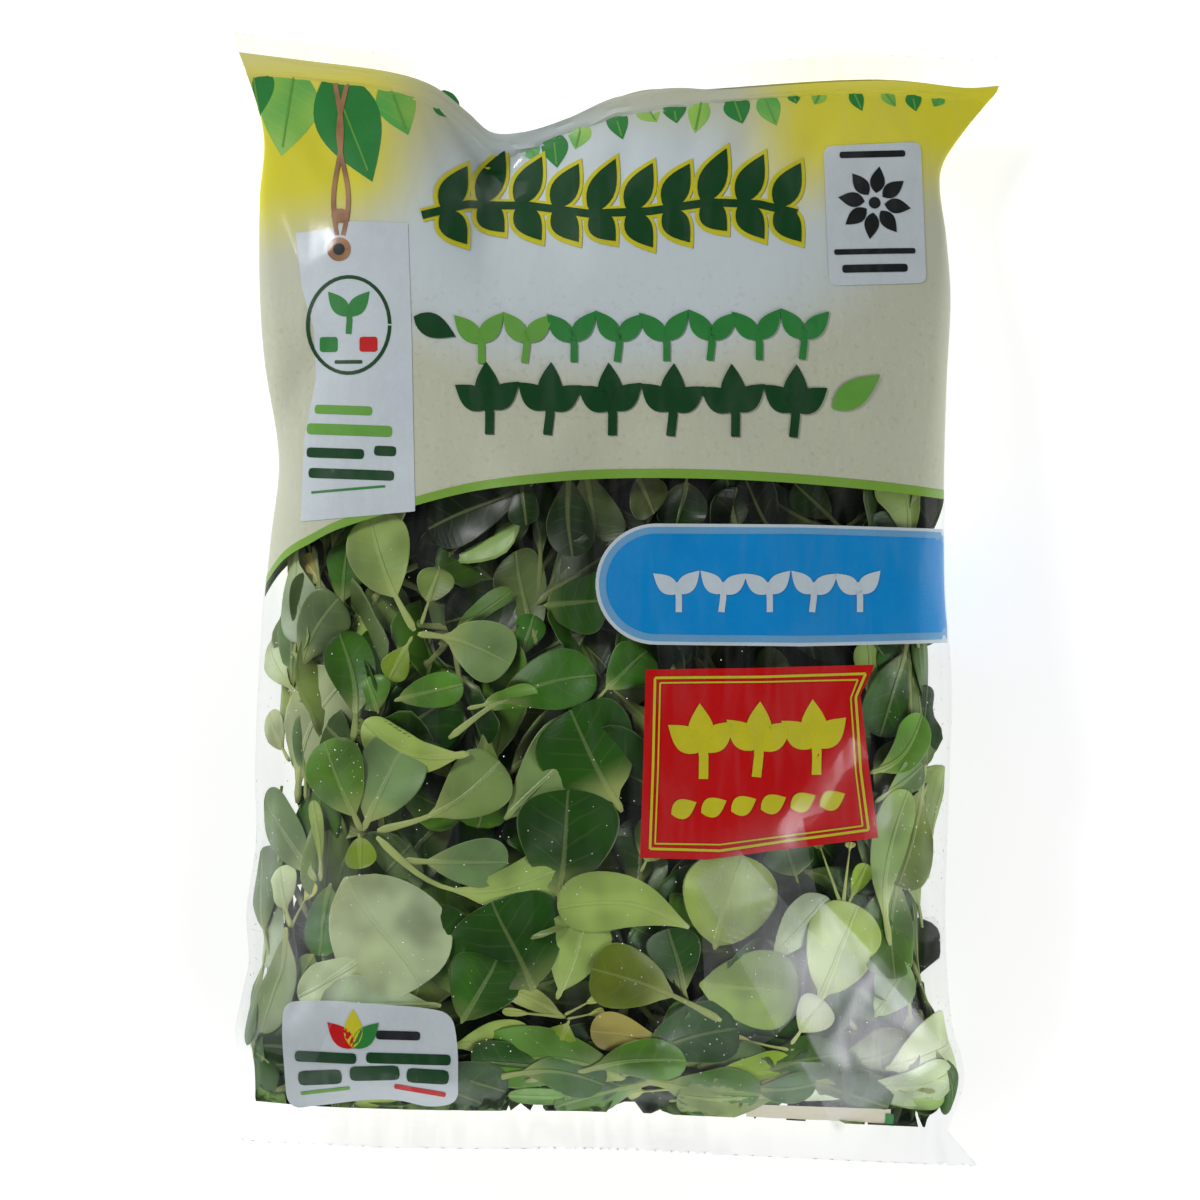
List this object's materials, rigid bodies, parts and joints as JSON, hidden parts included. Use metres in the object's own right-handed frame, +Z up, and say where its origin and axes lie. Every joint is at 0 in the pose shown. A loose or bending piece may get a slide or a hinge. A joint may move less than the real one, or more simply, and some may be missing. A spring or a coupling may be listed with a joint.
{
  "type": "bag of salad leaves",
  "caption": "Sealed clear film pillow bag of small round green salad leaves, lying flat, with a printed head, coloured labels and a crimped seal across each end.",
  "frame": {"origin": "middle of the bag's outline on the table, under its back", "axes": "+X across the bag, +Y towards its printed head, +Z up out of its printed front"},
  "size_m": [0.2098, 0.301, 0.0563],
  "materials": {
    "film": "clear glossy film over green leaves, crimped at both ends",
    "clear_film": "thin clear glossy film, a little milky",
    "print": "opaque print on glossy film",
    "leaf": "fresh green leaf with a soft sheen"
  },
  "bodies": {
    "root": {"bag": "film"}
  },
  "joints": []
}
